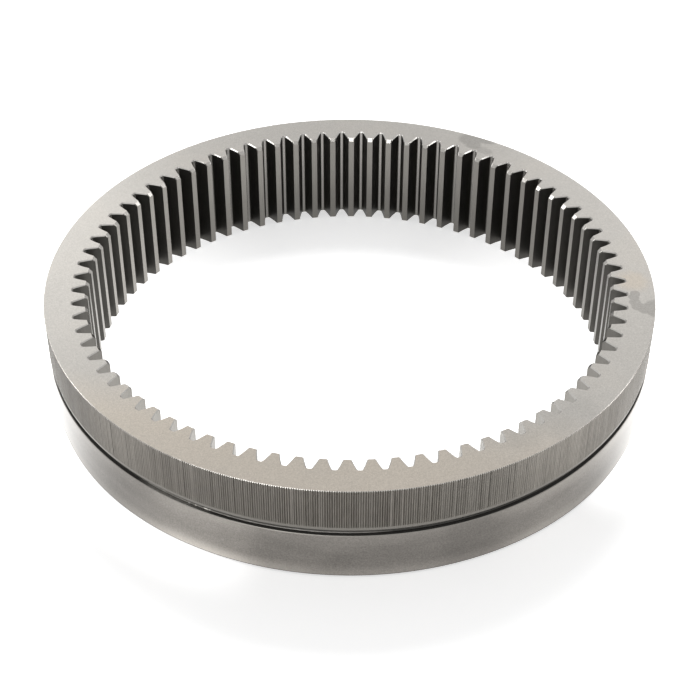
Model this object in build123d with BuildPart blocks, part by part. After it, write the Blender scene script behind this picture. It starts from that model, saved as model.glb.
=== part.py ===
"""Internal ring gear of a planetary hub reduction: one turned and shaped steel ring.

The outside has two bands with a groove between them. The upper band is pressed into the hub
and carries a fine axial serration, whose crests lie on the band's cylinder. The lower band is
a smooth pilot. The bore carries straight involute spur teeth from face to face, and a cone
trims the tooth tips at the upper end.

The axis is Z, the origin is the middle of the lower face, and a tooth gap is centred on +X.
Lengths are in millimetres.
"""
from build123d import *
from math import acos, cos, pi, radians, sin, tan
import os

# Toothing, with the standard full depth proportions
module = 3.5
tooth_count = 78
pressure_angle = radians(20)
backlash = 0.1  # added to the gap's width on the pitch circle
addendum = 1.0 * module
dedendum = 1.25 * module
root_fillet = 0.2 * module

# Cone that trims the tooth tips at the upper end, where the planet gears enter
tip_chamfer = 1.5

# Rim, from the root circle to the crests of the serration
rim_thickness = 14.125

# Outside, from the lower face up; depths are from the serration's crests
pilot_height = 26.5
pilot_depth = 0.2
pilot_foot_chamfer = 0.8
pilot_head_chamfer = 0.4
groove_width = 3.5
groove_depth = 2.5
run_out_height = 1.5  # plain strip below the serration, turned to its roots
run_out_depth = 0.4
serration_height = 23.0
serration_chamfer = 0.6

# Radii and heights that follow
pitch_radius = module * tooth_count / 2
base_radius = pitch_radius * cos(pressure_angle)
tip_radius = pitch_radius - addendum
root_radius = pitch_radius + dedendum
crest_radius = root_radius + rim_thickness
pilot_radius = crest_radius - pilot_depth
groove_radius = crest_radius - groove_depth
run_out_radius = crest_radius - run_out_depth
groove_top = pilot_height + groove_width
serration_foot = groove_top + run_out_height
ring_height = serration_foot + serration_height


def involute(angle):
    """Polar angle that an involute has turned through where its pressure angle is this."""
    return tan(angle) - angle


def flank_point(radius):
    """Point at a radius on the flank of the gap on +X, which narrows outwards."""
    half_angle_at_pitch = (pi * module / 2 + backlash) / (2 * pitch_radius)
    angle_at_radius = acos(base_radius / radius)
    half_angle = half_angle_at_pitch + involute(pressure_angle) - involute(angle_at_radius)
    return (radius * cos(half_angle), radius * sin(half_angle))


def corners_at(sketch, radius):
    """Corners of a section that lie at a radius, from the lowest up."""
    return sketch.vertices().filter_by_position(Axis.X, radius - 0.001, radius + 0.001).sort_by(Axis.Y)


# One tooth gap, open towards the axis; each flank is the arc through three points of its
# involute, which keeps to the curve within a hundredth of a millimetre
with BuildSketch() as tooth_gap:
    with BuildLine():
        mid_radius = (tip_radius + root_radius) / 2
        flank = ThreePointArc(flank_point(tip_radius), flank_point(mid_radius), flank_point(root_radius))
        mouth = Line(flank @ 0, (tip_radius - module, (flank @ 0).Y))
        mirror(about=Plane.XZ)
        Line(mouth @ 1, ((mouth @ 1).X, -(mouth @ 1).Y))
        Line(flank @ 1, ((flank @ 1).X, -(flank @ 1).Y))
    make_face()
    fillet(tooth_gap.vertices().sort_by(Axis.X)[-2:], root_fillet)

with BuildPart() as ring_gear:
    # The turned blank, one section revolved round the axis
    with BuildSketch(Plane.XZ) as section:
        with BuildLine():
            Polyline(
                (tip_radius, 0),
                (pilot_radius, 0),
                (pilot_radius, pilot_height),
                (groove_radius, pilot_height),
                (groove_radius, groove_top),
                (run_out_radius, groove_top),
                (run_out_radius, serration_foot),
                (crest_radius, serration_foot),
                (crest_radius, ring_height),
                (tip_radius, ring_height),
                close=True,
            )
        make_face()
        chamfer(corners_at(section, tip_radius)[-1], tip_chamfer)
        chamfer(corners_at(section, pilot_radius)[-1], pilot_head_chamfer)
        chamfer(corners_at(section, pilot_radius)[0], pilot_foot_chamfer)
        chamfer(corners_at(section, crest_radius)[-1], serration_chamfer)
    revolve(axis=Axis.Z)

    # The teeth are what the shaper leaves between the gaps
    with BuildSketch() as gaps:
        with PolarLocations(0, tooth_count):
            add(tooth_gap.sketch)
    extrude(amount=ring_height, mode=Mode.SUBTRACT)

os.makedirs("parts", exist_ok=True)
ring_gear.part.label = "ring_gear"
export_step(ring_gear.part, "parts/ring_gear.step")
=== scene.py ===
"""The finish of the internal ring gear: serrated band, deburred teeth, steels and the studio.

The shape works in millimetres round the gear's axis, as the gear is dimensioned, and each mesh
is written in metres. Angles are in radians, a tooth gap is centred on +X, and the front is -Y.
"""
import math

import bmesh
import bpy
import numpy as np
from mathutils import Matrix, Vector


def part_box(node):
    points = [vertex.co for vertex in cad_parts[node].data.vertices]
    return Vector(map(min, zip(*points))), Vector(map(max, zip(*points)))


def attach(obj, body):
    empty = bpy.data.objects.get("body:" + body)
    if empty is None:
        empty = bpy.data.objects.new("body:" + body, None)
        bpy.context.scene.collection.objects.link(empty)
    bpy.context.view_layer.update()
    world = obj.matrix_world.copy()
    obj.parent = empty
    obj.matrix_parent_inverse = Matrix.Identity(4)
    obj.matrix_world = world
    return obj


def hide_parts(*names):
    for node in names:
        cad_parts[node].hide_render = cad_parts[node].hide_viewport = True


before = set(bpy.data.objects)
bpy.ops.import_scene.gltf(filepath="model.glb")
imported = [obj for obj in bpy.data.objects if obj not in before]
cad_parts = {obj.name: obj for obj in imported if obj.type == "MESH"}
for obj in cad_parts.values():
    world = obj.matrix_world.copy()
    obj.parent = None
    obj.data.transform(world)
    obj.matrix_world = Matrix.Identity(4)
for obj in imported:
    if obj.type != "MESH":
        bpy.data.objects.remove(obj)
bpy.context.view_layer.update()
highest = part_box("ring_gear")[1]

MM = 0.001
FULL_TURN = 2 * math.pi
WHITE = (1, 1, 1)

# Toothing
MODULE = 3.5
TEETH = 78
PRESSURE_ANGLE = math.radians(20)
BACKLASH = 0.1
PITCH_RADIUS = MODULE * TEETH / 2
BASE_RADIUS = PITCH_RADIUS * math.cos(PRESSURE_ANGLE)
TIP_RADIUS = PITCH_RADIUS - MODULE
ROOT_RADIUS = PITCH_RADIUS + 1.25 * MODULE
ROOT_FILLET = 0.2 * MODULE
TIP_CONE = 1.5

# Points that draw half a gap: the flank in fine steps to measure on, and the stretches drawn
FINE_POINTS = 400
FILLET_POINTS = 8
FLANK_POINTS = 8
LAND_POINTS = 3

# Edges broken by the deburring brush, and the cone at the lower end of the lands
GAP_EDGE = 0.55
TIP_EDGE = 0.35
LOWER_EDGE = 0.3
LOWER_CONE = 0.8
# Cosine of the angle between the flank's normal and the land, at the corner where they meet
TIP_LEAN = 0.93

# Outside bands, from the crests of the serration and the two faces
CREST_RADIUS = highest.x / MM
HEIGHT = highest.z / MM
STRIP_RADIUS = CREST_RADIUS - 0.4
GROOVE_RADIUS = CREST_RADIUS - 2.5
PILOT_RADIUS = CREST_RADIUS - 0.2
STRIP_TOP = 31.5
GROOVE_TOP = 30.0
PILOT_TOP = 26.5
FOOT_TOP = 1.15
TOP_CHAMFER = 0.35
STRIP_CHAMFER = 0.12
PILOT_CHAMFER = 0.3
FOOT_CHAMFER = 0.8
GROOVE_FILLET = 0.6
GROOVE_FILLET_POINTS = 4

# One serration: the least and greatest share of the pitch that is crest, where the flat bottom of
# its groove begins and ends and how far it strays, and the least and greatest depth
SEED = 7
SERRATIONS = 917
CREST_SHARES = (0.20, 0.34)
BOTTOM_SHARES = (0.60, 0.68)
BOTTOM_STRAY = 0.05
DEPTHS = (0.30, 0.40)
# Its shades: mean and spread of the crest, a painted highlight, and of the two sides, and range
# of the bottom, which is painted shade
CREST_SHADE = (1.09, 0.06)
SIDE_SHADE = (0.97, 0.05)
BOTTOM_SHADES = (0.60, 0.90)
SHADE_LIMITS = (0.2, 1.8)

# Meshing, in metres and radians: points that are one, edges of no length, and a sharp turn
WELD = 1e-6
NO_LENGTH = 1e-7
SHARP_TURN = math.radians(35)

# What each face of the ring is, in the order of the ring's materials
ZONES = (
    "face", "root", "fillet", "tooth", "land", "edge", "apex", "cone",
    "chamfer", "serration", "strip", "groove", "corner", "shelf", "pilot", "foot",
)
FLAT_ZONES = {ZONES.index("face"), ZONES.index("land")}


# ---------------------------------------------------------------- shape of the teeth


def involute(angle):
    """Polar angle that an involute has turned through: tan(angle) - angle."""
    return np.tan(angle) - angle


def flank(radius):
    """Flank of the gap on +X at each radius: its half width narrows outwards with the involute."""
    half_angle = (math.pi * MODULE / 2 + BACKLASH) / (2 * PITCH_RADIUS)
    half_angle = half_angle + involute(PRESSURE_ANGLE) - involute(np.arccos(BASE_RADIUS / radius))
    return np.stack([radius * np.cos(half_angle), radius * np.sin(half_angle)], 1)


def half_gap():
    """Half of one gap, from the middle of its root to the middle of the next tooth.

    The root is straight, the fillet a quarter round that touches root and flank, the flank an
    involute, and the land an arc of the tip circle. Returns the points, how far each moves into
    the steel at the broken upper and lower edges, those edges' widths, and what each stretch
    between two points is.
    """
    # The fillet's centre is one fillet radius from the flank and from the root
    fine = flank(np.linspace(TIP_RADIUS, ROOT_RADIUS, FINE_POINTS))
    along = np.gradient(fine, axis=0)
    along /= np.linalg.norm(along, axis=1)[:, None]
    steel = np.stack([-along[:, 1], along[:, 0]], 1)
    inside = fine - ROOT_FILLET * steel
    root_x = fine[-1, 0]
    at = np.interp(root_x - ROOT_FILLET, inside[:, 0], np.arange(len(fine)))
    centre = np.array([np.interp(at, np.arange(len(fine)), inside[:, k]) for k in (0, 1)])
    touch = np.array([np.interp(at, np.arange(len(fine)), fine[:, k]) for k in (0, 1)])
    turn = np.linspace(0, math.atan2(*(touch - centre)[::-1]), FILLET_POINTS)
    fillet_normals = np.stack([np.cos(turn), np.sin(turn)], 1)
    fillet = centre + ROOT_FILLET * fillet_normals

    # The flank has two more points where the tip cone cuts it
    radii = np.linspace(np.linalg.norm(touch), TIP_RADIUS + TIP_CONE, FLANK_POINTS)[1:]
    radii = np.concatenate([radii, TIP_RADIUS + TIP_CONE * np.array([0.5, 0.0])])
    side = flank(radii)
    fine_radii = np.linalg.norm(fine, axis=1)
    side_normals = np.stack([np.interp(radii, fine_radii, steel[:, k]) for k in (0, 1)], 1)
    side_normals /= np.linalg.norm(side_normals, axis=1)[:, None]

    # The first point of the land is where the broken edge runs out on it
    corner = math.atan2(side[-1, 1], side[-1, 0])
    run_out = corner + TIP_EDGE / (TIP_LEAN * TIP_RADIUS)
    across = np.linspace(run_out, math.pi / TEETH, LAND_POINTS)
    land_normals = np.stack([np.cos(across), np.sin(across)], 1)
    land = TIP_RADIUS * land_normals

    points = np.concatenate([[[root_x, 0.0]], fillet, side, land])
    normals = np.concatenate([[[1.0, 0.0]], fillet_normals, side_normals, land_normals])
    meet = len(points) - len(land) - 1
    reach = np.linalg.norm(points, axis=1)
    upper_width = np.interp(reach, [TIP_RADIUS, ROOT_RADIUS], [TIP_EDGE, GAP_EDGE])
    upper_width[meet] = TIP_EDGE
    upper_width[meet + 1:] = 0.0
    lower_width = np.full(len(points), LOWER_EDGE)
    lower_width[meet:] = LOWER_CONE
    upper = normals * upper_width[:, None]
    lower = normals * lower_width[:, None]
    # Where flank and land meet, each edge goes in by its width from the flank and from the land
    both = np.stack([side_normals[-1], [math.cos(corner), math.sin(corner)]])
    upper[meet] = np.linalg.solve(both, [TIP_EDGE, 0.0])
    lower[meet] = np.linalg.solve(both, [LOWER_EDGE, LOWER_CONE])
    kinds = np.repeat(
        ["root", "fillet", "tooth", "tip", "land"],
        [1, len(fillet) - 1, len(side) - 2, 2, len(land)])
    return points, upper, lower, upper_width, lower_width, kinds


def round_the_ring(half):
    """Mirrors half a gap about +X and turns it round the axis once for each tooth."""
    whole = np.concatenate([half[:0:-1] * [1, -1], half[:-1]])
    step = np.arange(TEETH) * FULL_TURN / TEETH
    turned = np.stack([
        np.cos(step)[:, None] * whole[:, 0] - np.sin(step)[:, None] * whole[:, 1],
        np.sin(step)[:, None] * whole[:, 0] + np.cos(step)[:, None] * whole[:, 1],
    ], 2)
    return turned.reshape(-1, 2)


def upper_end(xy):
    """Height at which the ring ends above each point: the tip cone rises at 45 degrees."""
    return HEIGHT - np.clip(TIP_RADIUS + TIP_CONE - np.hypot(*xy.T), 0, TIP_CONE)


def bore_rows():
    """Rows of the toothed bore from the lower face to the upper one, each a loop of points.

    The outline is carried straight up. At either end it turns into the face along a broken edge,
    and above the lands it goes on along the tip cone. With the rows comes what each stretch
    between two points is.
    """
    points, upper, lower, upper_width, lower_width, kinds = half_gap()
    outline = round_the_ring(points)
    into_top = round_the_ring(points + upper)
    into_bottom = round_the_ring(points + lower)
    upper_width, lower_width = (
        np.tile(np.concatenate([width[:0:-1], width[:-1]]), TEETH)
        for width in (upper_width, lower_width))
    kinds = np.tile(np.concatenate([kinds[::-1], kinds]), TEETH)
    reach = np.hypot(*into_top.T)
    cone_edge = into_top * np.maximum(1, (TIP_RADIUS + TIP_CONE) / reach)[:, None]
    rows = [
        (into_bottom, np.zeros(len(outline))),
        (outline, lower_width),
        (outline, upper_end(outline) - upper_width),
        (into_top, upper_end(into_top)),
        (cone_edge, np.full(len(outline), HEIGHT)),
    ]
    return [np.column_stack([xy, z]) for xy, z in rows], kinds


# ---------------------------------------------------------------- shape of the outside


def outside_rows():
    """Rows of the outside from the upper face to the lower one, each a loop of points.

    One serration is a crest and a V-shaped groove, four points across. Its depth and the groove's
    place within the pitch vary a little from one to the next, as a rolled serration's do. With the
    rows come the zone that begins below each of them, and the shade of each stretch between two
    points, which is painted light: a painted highlight on the crests and painted shade in the
    groove bottoms, each a little more or less than the next.
    """
    chance = np.random.default_rng(SEED)
    one_each = (SERRATIONS, 1)
    stray = chance.normal(0, BOTTOM_STRAY, one_each)
    crest = chance.uniform(*CREST_SHARES, one_each)
    first, last = BOTTOM_SHARES
    share = np.hstack([np.zeros(one_each), crest, first + stray, last + stray])
    angle = ((np.arange(SERRATIONS)[:, None] + share) * (FULL_TURN / SERRATIONS)).ravel()
    depth = (chance.uniform(*DEPTHS, one_each) * [0, 0, 1, 1]).ravel()
    # Painted highlight on the crests and painted shade in the groove bottoms, varied at random
    crest_shade = chance.normal(*CREST_SHADE, one_each)
    side_shades = chance.normal(*SIDE_SHADE, (SERRATIONS, 2))
    bottom_shade = chance.uniform(*BOTTOM_SHADES, one_each)
    shade = np.hstack([crest_shade, side_shades[:, :1], bottom_shade, side_shades[:, 1:]])

    # The fillet at the foot of the groove's wall, a quarter round as steps in and down
    turn = np.linspace(0, math.pi / 2, GROOVE_FILLET_POINTS)
    fillet = GROOVE_FILLET * np.stack([1 - np.cos(turn), 1 - np.sin(turn)], 1)
    run_out = STRIP_TOP + (CREST_RADIUS - STRIP_RADIUS)
    profile = [
        ("chamfer", CREST_RADIUS - np.maximum(TOP_CHAMFER, depth), HEIGHT),
        ("serration", CREST_RADIUS - depth, np.minimum(HEIGHT, HEIGHT - TOP_CHAMFER + depth)),
        ("strip", CREST_RADIUS - depth, run_out - depth),
        ("strip", STRIP_RADIUS, STRIP_TOP),
        ("strip", STRIP_RADIUS, GROOVE_TOP + STRIP_CHAMFER),
        ("corner", STRIP_RADIUS - STRIP_CHAMFER, GROOVE_TOP),
        ("corner", GROOVE_RADIUS, GROOVE_TOP),
        *[("groove", GROOVE_RADIUS + out, PILOT_TOP + up) for out, up in fillet[:-1]],
        ("shelf", GROOVE_RADIUS + fillet[-1, 0], PILOT_TOP + fillet[-1, 1]),
        ("strip", PILOT_RADIUS - PILOT_CHAMFER, PILOT_TOP),
        ("pilot", PILOT_RADIUS, PILOT_TOP - PILOT_CHAMFER),
        ("foot", PILOT_RADIUS, FOOT_TOP),
        ("foot", PILOT_RADIUS, FOOT_CHAMFER),
        ("face", PILOT_RADIUS - FOOT_CHAMFER, 0.0),
    ]
    rows = [
        np.column_stack([r * np.cos(angle), r * np.sin(angle), np.broadcast_to(z, angle.shape)])
        for _, r, z in profile]
    return rows, [zone for zone, _, _ in profile], shade.clip(*SHADE_LIMITS).ravel()


# ---------------------------------------------------------------- meshes


def strip_faces(first, second, count):
    """Quads between two loops of the same count, as indices, with the first loop below."""
    here = np.arange(count)
    there = (here + 1) % count
    return np.column_stack([first + here, first + there, second + there, second + here])


def ring_faces(inner, outer, first_inner, first_outer):
    """Triangles of the flat ring between two loops of different counts, seen from above.

    Both loops are walked by angle. Each step makes one triangle, from a loop's edge to the point
    that the walk has reached on the other loop.
    """
    angles = [np.arctan2(loop[:, 1], loop[:, 0]) % FULL_TURN for loop in (inner, outer)]
    order = [np.argsort(a, kind="stable") for a in angles]
    sorted_angles = [a[o] for a, o in zip(angles, order)]
    made = []
    for own, other, side in ((0, 1, "left"), (1, 0, "right")):
        index = order[own] + (first_inner, first_outer)[own]
        following = np.roll(index, -1)
        end = np.roll(sorted_angles[own], -1)
        end[-1] += FULL_TURN
        reached = np.searchsorted(sorted_angles[other], end, side) - 1
        lapped = np.searchsorted(sorted_angles[other], end - FULL_TURN, side) - 1
        reached = np.where(end < FULL_TURN, reached, np.maximum(lapped, -1))
        tip = order[other][reached] + (first_inner, first_outer)[other]
        made.append(np.column_stack([index, following, tip] if own else [following, index, tip]))
    return np.concatenate(made)


def steel_mesh(name):
    """The whole ring as one closed surface: bore, outside, upper face and lower face in turn."""
    bore, kinds = bore_rows()
    outside, outside_zones, shade = outside_rows()
    n_bore, n_out = len(bore[0]), len(outside[0])
    bore_starts = np.arange(len(bore)) * n_bore
    out_starts = len(bore) * n_bore + np.arange(len(outside)) * n_out
    # Lower broken edge, walls, upper broken edge, and cone. Beside the cone the upper broken edge
    # runs out in the root fillet's dull, dark steel, whose darkness is painted shade that keeps
    # glints off it
    upper_edge = np.select(
        [np.isin(kinds, ("root", "fillet")), np.isin(kinds, ("tip", "land"))],
        ["apex", "fillet"], "edge")
    bore_zones = (
        np.where(kinds == "land", "cone", "edge"), np.where(kinds == "tip", "tooth", kinds),
        upper_edge, np.full(n_bore, "cone"))
    faces, zones, shades = [], [], []
    for k, row in enumerate(bore_zones):
        faces.append(strip_faces(bore_starts[k], bore_starts[k + 1], n_bore)[:, ::-1])
        zones.append(row)
        shades.append(np.ones(n_bore))
    for k, zone in enumerate(outside_zones[:-1]):
        faces.append(strip_faces(out_starts[k], out_starts[k + 1], n_out)[:, ::-1])
        zones.append(np.full(n_out, zone))
        shades.append(shade if zone in ("chamfer", "serration") else np.ones(n_out))
    top = ring_faces(bore[-1], outside[0], bore_starts[-1], out_starts[0])
    bottom = ring_faces(bore[0], outside[-1], 0, out_starts[-1])[:, ::-1]
    zones.append(np.full(len(top) + len(bottom), "face"))
    shades.append(np.ones(len(top) + len(bottom)))

    mesh = bpy.data.meshes.new(name)
    vertices = np.concatenate(bore + outside) * MM
    quads = np.concatenate(faces)
    mesh.from_pydata(vertices.tolist(), [], quads.tolist() + top.tolist() + bottom.tolist())
    shade_layer = mesh.attributes.new("shade", "FLOAT", "FACE")
    shade_layer.data.foreach_set("value", np.concatenate(shades).astype(np.float32))
    indices = [ZONES.index(zone) for zone in np.concatenate(zones)]
    mesh.polygons.foreach_set("material_index", np.array(indices, np.int32))
    return mesh


def weld_and_smooth(mesh):
    """Welds the mesh and shades it smooth, except at sharp turns and round the flat zones."""
    work = bmesh.new()
    work.from_mesh(mesh)
    bmesh.ops.remove_doubles(work, verts=work.verts, dist=WELD)
    bmesh.ops.dissolve_degenerate(work, edges=work.edges, dist=NO_LENGTH)
    for face in work.faces:
        face.smooth = True
    for edge in work.edges:
        first, second = edge.link_faces
        turned = first.normal.angle(second.normal, 0.0)
        zones = {first.material_index, second.material_index}
        edge.smooth = turned < SHARP_TURN and not (len(zones) > 1 and zones & FLAT_ZONES)
    work.to_mesh(mesh)
    work.free()


mesh = steel_mesh("steel_ring")
weld_and_smooth(mesh)
ring = bpy.data.objects.new("steel_ring", mesh)
bpy.context.scene.collection.objects.link(ring)
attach(ring, "root")
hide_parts("ring_gear")


# ---------------------------------------------------------------- shader nodes


def group(name, inputs, outputs):
    """A shader node group with float inputs and the given outputs, and its two end nodes."""
    tree = bpy.data.node_groups.new(name, "ShaderNodeTree")
    for label, value in inputs.items():
        socket = tree.interface.new_socket(label, in_out="INPUT", socket_type="NodeSocketFloat")
        socket.default_value = value
    for label in outputs:
        tree.interface.new_socket(label, in_out="OUTPUT", socket_type="NodeSocketFloat")
    return tree, tree.nodes.new("NodeGroupInput"), tree.nodes.new("NodeGroupOutput")


def feed(tree, socket, value):
    """Links the value to the socket if it is a socket, and else sets it there."""
    if isinstance(value, bpy.types.NodeSocket):
        tree.links.new(value, socket)
    else:
        socket.default_value = value


def math_node(tree, operation, *values):
    """A Math node in the tree, fed by numbers or sockets. Returns its output."""
    node = tree.nodes.new("ShaderNodeMath")
    node.operation = operation
    for socket, value in zip(node.inputs, values):
        feed(tree, socket, value)
    return node.outputs[0]


def vector_node(tree, operation, *values):
    """A Vector Math node in the tree, fed by vectors or sockets. Returns its outputs."""
    node = tree.nodes.new("ShaderNodeVectorMath")
    node.operation = operation
    for socket, value in zip(node.inputs, values):
        feed(tree, socket, value)
    return node.outputs


def ramp(tree, value, low, high, at_low=0.0, at_high=1.0):
    """A smooth step: at_low where the value is low or less, at_high where it is high or more."""
    node = tree.nodes.new("ShaderNodeMapRange")
    node.interpolation_type = "SMOOTHSTEP"
    for socket, number in zip(node.inputs, (value, low, high, at_low, at_high)):
        feed(tree, socket, number)
    return node.outputs[0]


def window(tree, value, rise, fall, height=1.0):
    """A smooth step up to the height over the rise, and one down to 0 over the fall."""
    return math_node(
        tree, "MULTIPLY", ramp(tree, value, *rise), ramp(tree, value, *fall, height, 0.0))


def toned(tree, level, along, tones):
    """The level times one smooth step along a coordinate for each of the tones."""
    for tone in tones:
        level = math_node(tree, "MULTIPLY", level, ramp(tree, along, *tone))
    return level


def summed(tree, *parts):
    """One plus the sum of each pair's product: a level that varies round one."""
    total = 1.0
    for value, weight in parts:
        total = math_node(tree, "MULTIPLY_ADD", value, weight, total)
    return total


def noise(tree, vector, scale, detail=2.0, roughness=0.6):
    """A Noise texture in the tree, centred on zero, with a number or a socket as its scale."""
    node = tree.nodes.new("ShaderNodeTexNoise")
    node.inputs["Detail"].default_value = detail
    node.inputs["Roughness"].default_value = roughness
    feed(tree, node.inputs["Vector"], vector)
    feed(tree, node.inputs["Scale"], scale)
    return math_node(tree, "SUBTRACT", node.outputs["Fac"], 0.5)


def scaled_place(tree, scale=(1, 1, 1)):
    """Object coordinates, stretched by three numbers."""
    place = tree.nodes.new("ShaderNodeTexCoord")
    stretch = tree.nodes.new("ShaderNodeMapping")
    stretch.inputs["Scale"].default_value = scale
    tree.links.new(place.outputs["Object"], stretch.inputs["Vector"])
    return stretch.outputs["Vector"]


def position(tree):
    """Object coordinates as three sockets, named X, Y and Z."""
    parts = tree.nodes.new("ShaderNodeSeparateXYZ")
    tree.links.new(scaled_place(tree), parts.inputs[0])
    return parts.outputs


# ---------------------------------------------------------------- shared effects


def grain_group():
    """Fine mottled grain of ground or blasted steel, and the soft clouds of its handling."""
    tree, ins, outs = group("steel_grain", {"Size": 2200.0, "Clouds": 22.0}, ("Grain", "Cloud"))
    place = scaled_place(tree)
    tree.links.new(noise(tree, place, ins.outputs["Size"]), outs.inputs["Grain"])
    cloud = noise(tree, place, ins.outputs["Clouds"], detail=3.0, roughness=0.55)
    tree.links.new(cloud, outs.inputs["Cloud"])
    return tree


def turning_group():
    """Lines left by the turning tool: noise that runs round the axis and changes only along it."""
    tree, ins, outs = group("turning_lines", {"Lines": 2600.0}, ("Line",))
    place = scaled_place(tree, (0.02, 0.02, 1))
    tree.links.new(noise(tree, place, ins.outputs["Lines"]), outs.inputs["Line"])
    return tree


def streak_group():
    """Streaks that run along the axis: fine ones from end to end, and broken ones between."""
    tree, ins, outs = group("axial_streaks", {"Streaks": 900.0}, ("Streak", "Dash"))
    whole = scaled_place(tree, (1, 1, 0.02))
    tree.links.new(noise(tree, whole, ins.outputs["Streaks"]), outs.inputs["Streak"])
    broken = scaled_place(tree, (1, 1, 0.18))
    tree.links.new(noise(tree, broken, ins.outputs["Streaks"], detail=1.0), outs.inputs["Dash"])
    return tree


def spot_group():
    """How far a point of a level face is from a spot's middle, as a share of the spot's radius."""
    tree, ins, outs = group("spot", {"X": 0.0, "Y": 0.0, "Radius": 0.01}, ("Reach",))
    middle = tree.nodes.new("ShaderNodeCombineXYZ")
    tree.links.new(ins.outputs["X"], middle.inputs["X"])
    tree.links.new(ins.outputs["Y"], middle.inputs["Y"])
    away = vector_node(tree, "DISTANCE", scaled_place(tree, (1, 1, 0)), middle.outputs[0])["Value"]
    reach = math_node(tree, "DIVIDE", away, ins.outputs["Radius"])
    tree.links.new(reach, outs.inputs["Reach"])
    return tree


def rim_group():
    """A stain from its reach: 1 inside a ragged, softly fading rim and 0 outside it."""
    tree, ins, outs = group(
        "ragged_rim", {"Reach": 0.0, "Ragged": 0.8, "Soft": 0.15}, ("Stain",))
    ragged = noise(tree, scaled_place(tree), 260.0, detail=4.0, roughness=0.65)
    ragged = math_node(tree, "MULTIPLY_ADD", ragged, ins.outputs["Ragged"], ins.outputs["Reach"])
    fall = math_node(tree, "SUBTRACT", 1.0, ragged)
    fall = math_node(tree, "DIVIDE", fall, ins.outputs["Soft"])
    tree.links.new(ramp(tree, fall, -1.0, 1.0), outs.inputs["Stain"])
    return tree


GRAIN = grain_group()
TURNING = turning_group()
STREAKS = streak_group()
SPOT = spot_group()
RIM = rim_group()


def placed(tree, effect, **values):
    """One of the effects above, placed in a material with its own values. Returns its outputs."""
    node = tree.nodes.new("ShaderNodeGroup")
    node.node_tree = effect
    for label, value in values.items():
        feed(tree, node.inputs[label], value)
    return node.outputs


# ---------------------------------------------------------------- steels

# Painted light, in place of the light and shade that the steel mirrors: changes of brightness along
# X or Y, where each begins and ends, and the factors at the two
SERRATION_PAINTED_LIGHT = (
    (-0.134, -0.104, 0.65, 1.0),
    (-0.100, -0.080, 1.12, 1.0),
    (-0.050, -0.025, 0.88, 1.0),
    (0.065, 0.085, 1.0, 1.17),
    (0.102, 0.126, 1.0, 0.77),
)
PILOT_PAINTED_LIGHT = (
    (-0.135, -0.115, 0.90, 1.0),
    (-0.098, -0.076, 0.70, 1.0),
    (-0.052, -0.036, 1.25, 1.0),
    (0.040, 0.052, 1.0, 0.87),
    (0.060, 0.092, 1.0, 1.50),
    (0.100, 0.122, 1.0, 0.72),
)
LAND_PAINTED_LIGHT = (
    (-0.120, -0.085, 1.50, 1.0),
    (-0.085, -0.015, 1.33, 1.0),
    (0.085, 0.120, 1.0, 1.18),
)
CHAMFER_PAINTED_GLINT = ((-0.128, -0.112, 1.8, 1.0),)
FLANK_PAINTED_LIGHT = ((-0.125, -0.010, 3.7, 1.0),)

# Stains on the upper face: how much light each keeps, how ragged and how soft its rim is, and
# the middles and radii of the spots that it is made of
STAINS = (
    (0.75, 0.30, 0.10, (
        (0.1444, -0.0112, 0.0026), (0.1434, -0.0140, 0.0028), (0.1434, -0.0180, 0.0030),
        (0.1446, -0.0215, 0.0034), (0.1475, -0.0238, 0.0036), (0.1550, -0.0232, 0.0078))),
    (0.93, 2.0, 0.60, (
        (0.0960, -0.1080, 0.0110), (0.1080, -0.0990, 0.0080), (0.0790, -0.1190, 0.0080))),
    (0.76, 0.5, 0.25, (
        (0.0675, 0.1340, 0.0055), (0.0700, 0.1285, 0.0045), (0.0725, 0.1345, 0.0050),
        (0.0770, 0.1325, 0.0035), (0.0800, 0.1310, 0.0025))),
    (0.84, 0.6, 0.30, ((0.0745, 0.1225, 0.0035), (0.0775, 0.1205, 0.0030))),
)
# A reach that is outside every spot
FAR_OFF = 100.0
# The oil film: where it thins out along Y, how much its rim slants with X, how much the clouds
# break it up, and one more spot of it
FILM_RIM = (-0.132, -0.080)
FILM_SLANT = 0.15
FILM_CLOUDS = 0.9
FILM_SPOT = (0.1444, -0.0005, 0.0075)
# Where a Mix node of colours has its share, its two colours and its result
MIX_SHARE, MIX_FIRST, MIX_SECOND, MIX_RESULT = 0, 6, 7, 2

# Along Y, where the broken edges lose their polish, and where the groove's bare stretch, free of
# its painted shade, ends
EDGE_DULLING = (0.070, 0.105)
GROOVE_BACK = (-0.06, 0.0)
# Along X, where the groove's bare stretch begins, where painted shade darkens its fillet and the
# rest of it, and where painted glints lie in dashes
GROOVE_BARE = (-0.102, -0.088)
FILLET_PAINTED_SHADE = (0.005, 0.030)
GROOVE_PAINTED_SHADE = (-0.080, -0.050)
GLINT_FROM, GLINT_TO = (-0.074, -0.070), (-0.060, -0.056)
# The bare stretch's level with a mottling noise on it, and the edge of a painted glint's dash in
# that
BARE_LEVEL, MOTTLING_SPREAD = 0.95, 0.9
GLINT_EDGE = (0.0, 0.08)

# Along Z, where a painted reflection lightens the pilot above and below, and along X, where it
# lightens its foot more
PILOT_HIGH_REFLECTION = (0.016, 0.0265)
PILOT_LOW_REFLECTION = (0.0, 0.009)
FOOT_REFLECTION_FROM, FOOT_REFLECTION_TO = (-0.110, -0.070), (-0.045, -0.005)
# How much more the painted reflection lightens the foot there, and the pilot's least level
FOOT_REFLECTION_MORE = 1.3
PILOT_LEAST = 0.3

# Shades of the serration, its painted highlight and shade, that the chamfer takes as groove and
# as crest, and its levels there
CHAMFER_SHADES = (0.85, 1.05, 0.35, 1.05)


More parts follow.
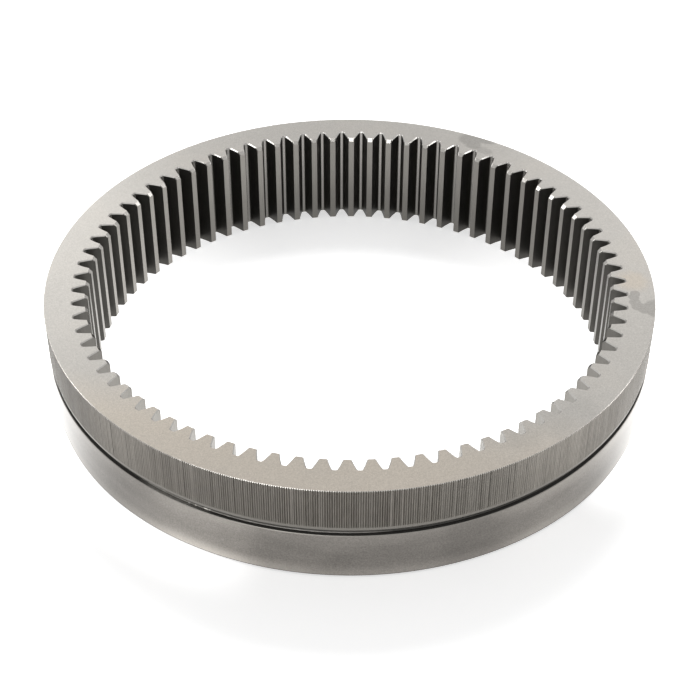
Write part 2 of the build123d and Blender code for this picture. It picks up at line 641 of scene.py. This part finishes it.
def steel_base(name, colour, roughness, metallic=1.0):
    """A bare metal material. Returns it, its tree, its shader, and the node that tints it."""
    material = bpy.data.materials.new(name)
    material.use_nodes = True
    tree = material.node_tree
    shader = tree.nodes["Principled BSDF"]
    shader.inputs["Metallic"].default_value = metallic
    shader.inputs["Roughness"].default_value = roughness
    tint = tree.nodes.new("ShaderNodeVectorMath")
    tint.operation = "SCALE"
    tint.inputs[0].default_value = colour
    tree.links.new(tint.outputs[0], shader.inputs["Base Color"])
    return material, tree, shader, tint


def serration_shade(tree):
    """The painted highlight and shade that each stretch of the serration and of its chamfer
    carries.
    """
    shade = tree.nodes.new("ShaderNodeAttribute")
    shade.attribute_name = "shade"
    return shade.outputs["Fac"]


def steel(name, colour, roughness, grain=0.1, turning=0.0, streak=0.0, tones=()):
    """A steel varied by grain, turning lines, axial streaks, and tones along X, which are painted
    light.
    """
    material, tree, shader, tint = steel_base(name, colour, roughness)
    grains = placed(tree, GRAIN)
    parts = [(grains["Grain"], grain), (grains["Cloud"], 0.1)]
    if turning:
        parts.append((placed(tree, TURNING)["Line"], turning))
    if streak:
        parts.append((placed(tree, STREAKS)["Streak"], streak))
    # Painted light where tones are given: the lands lighter towards the sides, most of all to the
    # left
    level = toned(tree, summed(tree, *parts), position(tree)["X"], tones)
    tree.links.new(level, tint.inputs["Scale"])
    rough = math_node(tree, "MULTIPLY_ADD", grains["Grain"], 0.1, roughness)
    tree.links.new(rough, shader.inputs["Roughness"])
    return material


def stain(tree, spots, ragged, soft):
    """1 inside a ragged, softly fading rim round the spots, and 0 outside it."""
    reach = FAR_OFF
    for x, y, radius in spots:
        spot = placed(tree, SPOT, X=x, Y=y, Radius=radius)
        reach = math_node(tree, "MINIMUM", spot["Reach"], reach)
    return placed(tree, RIM, Reach=reach, Ragged=ragged, Soft=soft)["Stain"]


def ground_face(colour, warm, roughness):
    """The ground upper and lower faces: crisp grain, a warm oil film to the front, and stains."""
    material, tree, _, tint = steel_base("ground_face", colour, roughness)
    grains = placed(tree, GRAIN, Size=1400.0)
    fine = placed(tree, GRAIN, Size=2600.0)
    level = summed(tree, (grains["Grain"], 0.5), (fine["Grain"], 0.5), (grains["Cloud"], 0.14))
    for kept, ragged, soft, spots in STAINS:
        dimmed = math_node(tree, "MULTIPLY_ADD", stain(tree, spots, ragged, soft), kept - 1, 1.0)
        level = math_node(tree, "MULTIPLY", level, dimmed)
    tree.links.new(level, tint.inputs["Scale"])

    place = position(tree)
    oiled = math_node(tree, "MULTIPLY_ADD", place["X"], FILM_SLANT, place["Y"])
    oiled = ramp(tree, oiled, *FILM_RIM, 1.0, 0.0)
    oiled = math_node(tree, "MULTIPLY_ADD", grains["Cloud"], FILM_CLOUDS, oiled)
    oiled = math_node(tree, "ADD", oiled, stain(tree, (FILM_SPOT,), ragged=1.0, soft=0.5))
    film = tree.nodes.new("ShaderNodeMix")
    film.data_type = "RGBA"
    film.inputs[MIX_FIRST].default_value = (*colour, 1)
    film.inputs[MIX_SECOND].default_value = (*warm, 1)
    tree.links.new(oiled, film.inputs[MIX_SHARE])
    tree.links.new(film.outputs[MIX_RESULT], tint.inputs[0])
    return material


def rolled_serration(colour, roughness):
    """The serrated band: a painted highlight on each crest and painted shade in each groove, broken
    by fine dashes of dirt, and painted light along X that makes it lighter and darker by turns.
    """
    material, tree, _, tint = steel_base("rolled_serration", colour, roughness)
    grains = placed(tree, GRAIN, Clouds=45.0)
    streaks = placed(tree, STREAKS, Streaks=1100.0)
    level = summed(
        tree, (grains["Grain"], 0.5), (grains["Cloud"], 0.15), (streaks["Streak"], 0.3),
        (streaks["Dash"], 0.45))
    # Painted light: the band lighter and darker by turns from left to right
    level = toned(tree, level, position(tree)["X"], SERRATION_PAINTED_LIGHT)
    level = math_node(tree, "MULTIPLY", level, serration_shade(tree))
    tree.links.new(level, tint.inputs["Scale"])
    return material


def rolled_chamfer(colour, roughness):
    """The chamfer round the upper face: it takes the serration's painted shade at the grooves and
    painted highlight at the crests, and a painted glint at the left.
    """
    material, tree, _, tint = steel_base("turned_chamfer", colour, roughness)
    level = ramp(tree, serration_shade(tree), *CHAMFER_SHADES)
    # Painted glint: the chamfer brighter at the left
    level = toned(tree, level, position(tree)["X"], CHAMFER_PAINTED_GLINT)
    tree.links.new(level, tint.inputs["Scale"])
    return material


def bore_steel(name, colour, roughness, grain=0.2, tones=(), dull=None):
    """Steel of the teeth, with streaks along them and tones along Y, which are painted light.

    Where a dull roughness is given, it takes over from the back to the front.
    """
    material, tree, shader, tint = steel_base(name, colour, roughness)
    place = position(tree)
    grain_level, streak_level = placed(tree, GRAIN)["Grain"], placed(tree, STREAKS)["Streak"]
    level = summed(tree, (grain_level, grain), (streak_level, 0.2))
    # Painted light where tones are given: the flanks dark at the back and up to 3.7 times as bright
    # at the front
    tree.links.new(toned(tree, level, place["Y"], tones), tint.inputs["Scale"])
    if dull is not None:
        polish = ramp(tree, place["Y"], *EDGE_DULLING, dull, roughness)
        tree.links.new(polish, shader.inputs["Roughness"])
    return material


def recess(name, colour, roughness, painted_shade_span, least, metallic=1.0, dashes=0.0):
    """The groove, with painted shade: a bare stretch shows lighter at the front left, and beyond it
    painted shade leaves it dim.

    The painted shade closes in over the two places along X. The dashes are painted glints of that
    strength, with dark between them.
    """
    material, tree, _, tint = steel_base(name, colour, roughness, metallic)
    place = position(tree)
    forward = ramp(tree, place["Y"], *GROOVE_BACK, 1.0, 0.0)
    # Painted shade: outside this bare stretch the groove is dimmed to its least level
    bare = math_node(tree, "MULTIPLY", window(tree, place["X"], GROOVE_BARE, painted_shade_span), forward)
    mottling = noise(tree, scaled_place(tree, (1, 1, 0.5)), 400.0)
    level = math_node(tree, "MULTIPLY_ADD", mottling, MOTTLING_SPREAD, BARE_LEVEL)
    level = math_node(tree, "MULTIPLY", bare, level)
    # Painted glints: bright dashes in the bare stretch
    glint = math_node(
        tree, "MULTIPLY", window(tree, place["X"], GLINT_FROM, GLINT_TO), forward)
    glint = math_node(tree, "MULTIPLY", glint, ramp(tree, mottling, *GLINT_EDGE))
    level = math_node(tree, "MULTIPLY_ADD", glint, dashes, level)
    tree.links.new(math_node(tree, "MAXIMUM", level, least), tint.inputs["Scale"])
    return material


def pilot_steel(colour, roughness):
    """The ground pilot: fine grain, faint bands round the ring, a painted reflection that lightens
    it above and below, and painted light along X.
    """
    material, tree, _, tint = steel_base("pilot_steel", colour, roughness)
    place = position(tree)
    grains = placed(tree, GRAIN, Size=1400.0, Clouds=30.0)
    lines = placed(tree, TURNING)["Line"]
    bands = noise(tree, scaled_place(tree, (1, 1, 4)), 28.0, detail=3.0, roughness=0.55)
    # Painted reflection: lighter above and below, and more at the foot on the left
    high = ramp(tree, place["Z"], *PILOT_HIGH_REFLECTION)
    low = ramp(tree, place["Z"], *PILOT_LOW_REFLECTION, 1.0, 0.0)
    more = math_node(
        tree, "MULTIPLY_ADD", window(tree, place["X"], FOOT_REFLECTION_FROM, FOOT_REFLECTION_TO), FOOT_REFLECTION_MORE, 1.0)
    low = math_node(tree, "MULTIPLY", low, more)
    level = summed(
        tree, (grains["Grain"], 0.9), (grains["Cloud"], 0.25), (bands, 0.55), (lines, 0.12),
        (high, 0.30), (low, 0.45))
    # Painted light: the pilot lighter and darker by turns from left to right
    level = toned(tree, level, place["X"], PILOT_PAINTED_LIGHT)
    tree.links.new(math_node(tree, "MAXIMUM", level, PILOT_LEAST), tint.inputs["Scale"])
    return material


STEELS = {
    "face": ground_face((0.448, 0.429, 0.401), (0.478, 0.434, 0.378), 0.28),
    "root": steel("gap_root", (0.26, 0.25, 0.235), 0.25, grain=0.2, streak=0.3),
    # The flanks' steels are dark, and painted light brightens them towards the front
    "fillet": bore_steel("root_fillet", (0.090, 0.086, 0.079), 0.40, tones=FLANK_PAINTED_LIGHT),
    "tooth": bore_steel("shaped_flank", (0.093, 0.089, 0.082), 0.42, 0.35, FLANK_PAINTED_LIGHT),
    "land": steel(
        "tooth_land", (0.188, 0.179, 0.165), 0.30, grain=0.3, turning=0.1, tones=LAND_PAINTED_LIGHT),
    "edge": bore_steel("broken_edge", (0.42, 0.41, 0.39), 0.20, dull=0.65),
    "apex": bore_steel("broken_apex", (0.32, 0.31, 0.295), 0.25, dull=0.65),
    "cone": steel("tip_cone", (0.38, 0.365, 0.345), 0.20, grain=0.2),
    "chamfer": rolled_chamfer((0.50, 0.48, 0.45), 0.26),
    "serration": rolled_serration((0.208, 0.194, 0.174), 0.30),
    "strip": steel("run_out_strip", (0.22, 0.208, 0.19), 0.35, grain=0.2, turning=0.2),
    # The groove's steels carry painted shade, except at the front left, and the fillet painted
    # glints
    "groove": recess(
        "groove_fillet", (0.20, 0.192, 0.178), 0.28, FILLET_PAINTED_SHADE, least=0.28, dashes=1.6),
    "corner": recess("groove_wall", (0.36, 0.345, 0.32), 0.28, GROOVE_PAINTED_SHADE, least=0.50),
    "shelf": recess(
        "groove_shelf", (0.30, 0.288, 0.268), 0.40, GROOVE_PAINTED_SHADE, least=0.20, metallic=0.2),
    # Painted shade: the lowest band of the outside and the foot chamfer are dark, as the shade
    # where the ring stands on the floor
    "foot": steel("foot_painted_shade", (0.08, 0.077, 0.072), 0.35, grain=0.2),
    "pilot": pilot_steel((0.208, 0.195, 0.179), 0.28),
}
for zone in ZONES:
    mesh.materials.append(STEELS[zone])


# ---------------------------------------------------------------- studio

# The floor: half its side, how far below the ring it lies, and how bright it is to the eye
FLOOR_REACH = 6.0
FLOOR_DROP = 0.0002
FLOOR_LIFT = 0.54
# Light that mirrors see spilt over it: bearings from the front, in degrees, where each spill
# rises and falls, and its strength. The first lies on both sides, the second at the left.
SIDE_SPILL = ((44.0, 70.0), (105.0, 160.0), 1.5)
LEFT_SPILL = ((-62.0, -38.0), (-30.0, -12.0), 0.45)
# How the spill changes with the distance from the axis
SPILL_TONES = (
    (0.133, 0.150, 0.3, 1.0),
    (0.158, 0.184, 1.0, 0.08),
)
# The surround: how much of it lights the ring. The eye and mirrors see all of it.
SURROUND_LIGHT = 0.55

# The camera, from the middle of the ring's upper face, and its turn round the axis and its roll
LENS = 82.614
CAMERA_PLACE = Vector((-0.000943, -0.652348, 0.491167))
CAMERA_AIM = Vector((-0.000943, -0.055717, 0.0))
CAMERA_TURN = math.radians(0.328)
CAMERA_ROLL = math.radians(0.2448)


def seen_or_mirrored(tree):
    """1 for a ray from the camera, from a mirror or through glass, and 0 for any other."""
    path = tree.nodes.new("ShaderNodeLightPath")
    seen = math_node(tree, "MAXIMUM", path.outputs["Is Camera Ray"], path.outputs["Is Glossy Ray"])
    return math_node(tree, "MAXIMUM", seen, path.outputs["Is Transmission Ray"])


def studio_floor():
    """A wide pale floor. To the eye and in mirrors it is lifted to white, and shadows stay on it.

    Light spills over it beside the ring, so there mirrors see it brighter: the lift grows with the
    bearing from the front, up to the sides, and falls again to the back. Close under the ring and
    far from it the spill is weak.
    """
    sheet = bpy.data.meshes.new("floor")
    corners = [(x * FLOOR_REACH, y * FLOOR_REACH, -FLOOR_DROP)
               for x, y in ((-1, -1), (1, -1), (1, 1), (-1, 1))]
    sheet.from_pydata(corners, [], [(0, 1, 2, 3)])
    material = bpy.data.materials.new("pale_floor")
    material.use_nodes = True
    tree = material.node_tree
    shader = tree.nodes["Principled BSDF"]
    shader.inputs["Base Color"].default_value = (0.80, 0.80, 0.80, 1)
    shader.inputs["Roughness"].default_value = 0.6
    shader.inputs["Specular IOR Level"].default_value = 0.2
    shader.inputs["Emission Color"].default_value = (*WHITE, 1)

    place = position(tree)
    forward = math_node(tree, "MULTIPLY", place["Y"], -1.0)
    bearing = math_node(tree, "ARCTAN2", place["X"], forward)
    bearing = math_node(tree, "DEGREES", bearing)
    spill = window(tree, math_node(tree, "ABSOLUTE", bearing), *SIDE_SPILL)
    spill = math_node(tree, "ADD", spill, window(tree, bearing, *LEFT_SPILL))
    out = vector_node(tree, "LENGTH", scaled_place(tree, (1, 1, 0)))["Value"]
    lift = math_node(tree, "ADD", toned(tree, spill, out, SPILL_TONES), FLOOR_LIFT)
    lift = math_node(tree, "MULTIPLY", seen_or_mirrored(tree), lift)
    tree.links.new(lift, shader.inputs["Emission Strength"])
    sheet.materials.append(material)
    floor = bpy.data.objects.new("floor", sheet)
    bpy.context.scene.collection.objects.link(floor)


def studio_world():
    """A soft pale surround that the eye and mirrors see as white."""
    world = bpy.data.worlds.new("studio")
    bpy.context.scene.world = world
    world.use_nodes = True
    tree = world.node_tree
    background = tree.nodes["Background"]
    background.inputs["Color"].default_value = (*WHITE, 1)
    strength = math_node(
        tree, "MULTIPLY_ADD", seen_or_mirrored(tree), 1 - SURROUND_LIGHT, SURROUND_LIGHT)
    tree.links.new(strength, background.inputs["Strength"])


def softbox(name, place, size, watts, colour=WHITE):
    """A rectangular area lamp that faces the ring. It shines on steel, and not on dull things."""
    data = bpy.data.lights.new(name, "AREA")
    data.shape = "RECTANGLE"
    data.size, data.size_y = size
    data.energy = watts
    data.color = colour
    lamp = bpy.data.objects.new(name, data)
    bpy.context.scene.collection.objects.link(lamp)
    lamp.location = place
    lamp.rotation_euler = (middle - Vector(place)).to_track_quat("-Z", "Y").to_euler()
    lamp.visible_diffuse = False
    return lamp


middle = Vector((0, 0, highest.z))
studio_floor()
studio_world()
softbox("key_softbox", (-0.17, -0.92, 1.66), (0.40, 0.28), 2.6)
softbox("front_strip", (-0.68, -1.02, 1.10), (1.10, 0.15), 2.8)
softbox("left_softbox", (-1.30, 0.33, 0.95), (0.80, 0.40), 4.5)
softbox("right_softbox", (1.33, 0.20, 0.92), (0.75, 0.26), 2.2)
softbox("left_strip", (-1.56, 0.34, 0.56), (0.50, 0.30), 1.0)
softbox("right_strip", (1.56, 0.34, 0.52), (0.60, 0.30), 1.7)
softbox("back_left_softbox", (-0.87, 1.85, 1.08), (0.9, 0.9), 3.0, (0.985, 0.985, 0.98))
softbox("back_right_softbox", (0.92, 1.80, 1.1), (1.2, 0.9), 1.6)
# This one is the other way round: it lights the floor from behind, and mirrors don't see it
above = softbox("floor_softbox", (0.0, 1.6, 1.5), (1.0, 1.0), 60)
above.visible_diffuse = True
above.visible_glossy = False

# The camera stands in front of the ring and looks down on it, a little off level
camera_data = bpy.data.cameras.new("camera")
camera_data.sensor_width = 36
camera_data.lens = LENS
camera_data.clip_end = 50
camera = bpy.data.objects.new("camera", camera_data)
bpy.context.scene.collection.objects.link(camera)
turn = Matrix.Rotation(CAMERA_TURN, 4, "Z")
place = turn @ CAMERA_PLACE + middle
look = (turn @ CAMERA_AIM + middle - place).to_track_quat("-Z", "Y").to_matrix().to_4x4()
roll = Matrix.Rotation(CAMERA_ROLL, 4, "Z")
camera.matrix_world = Matrix.Translation(place) @ look @ roll
bpy.context.scene.camera = camera

bpy.context.scene.view_settings.view_transform = "Standard"
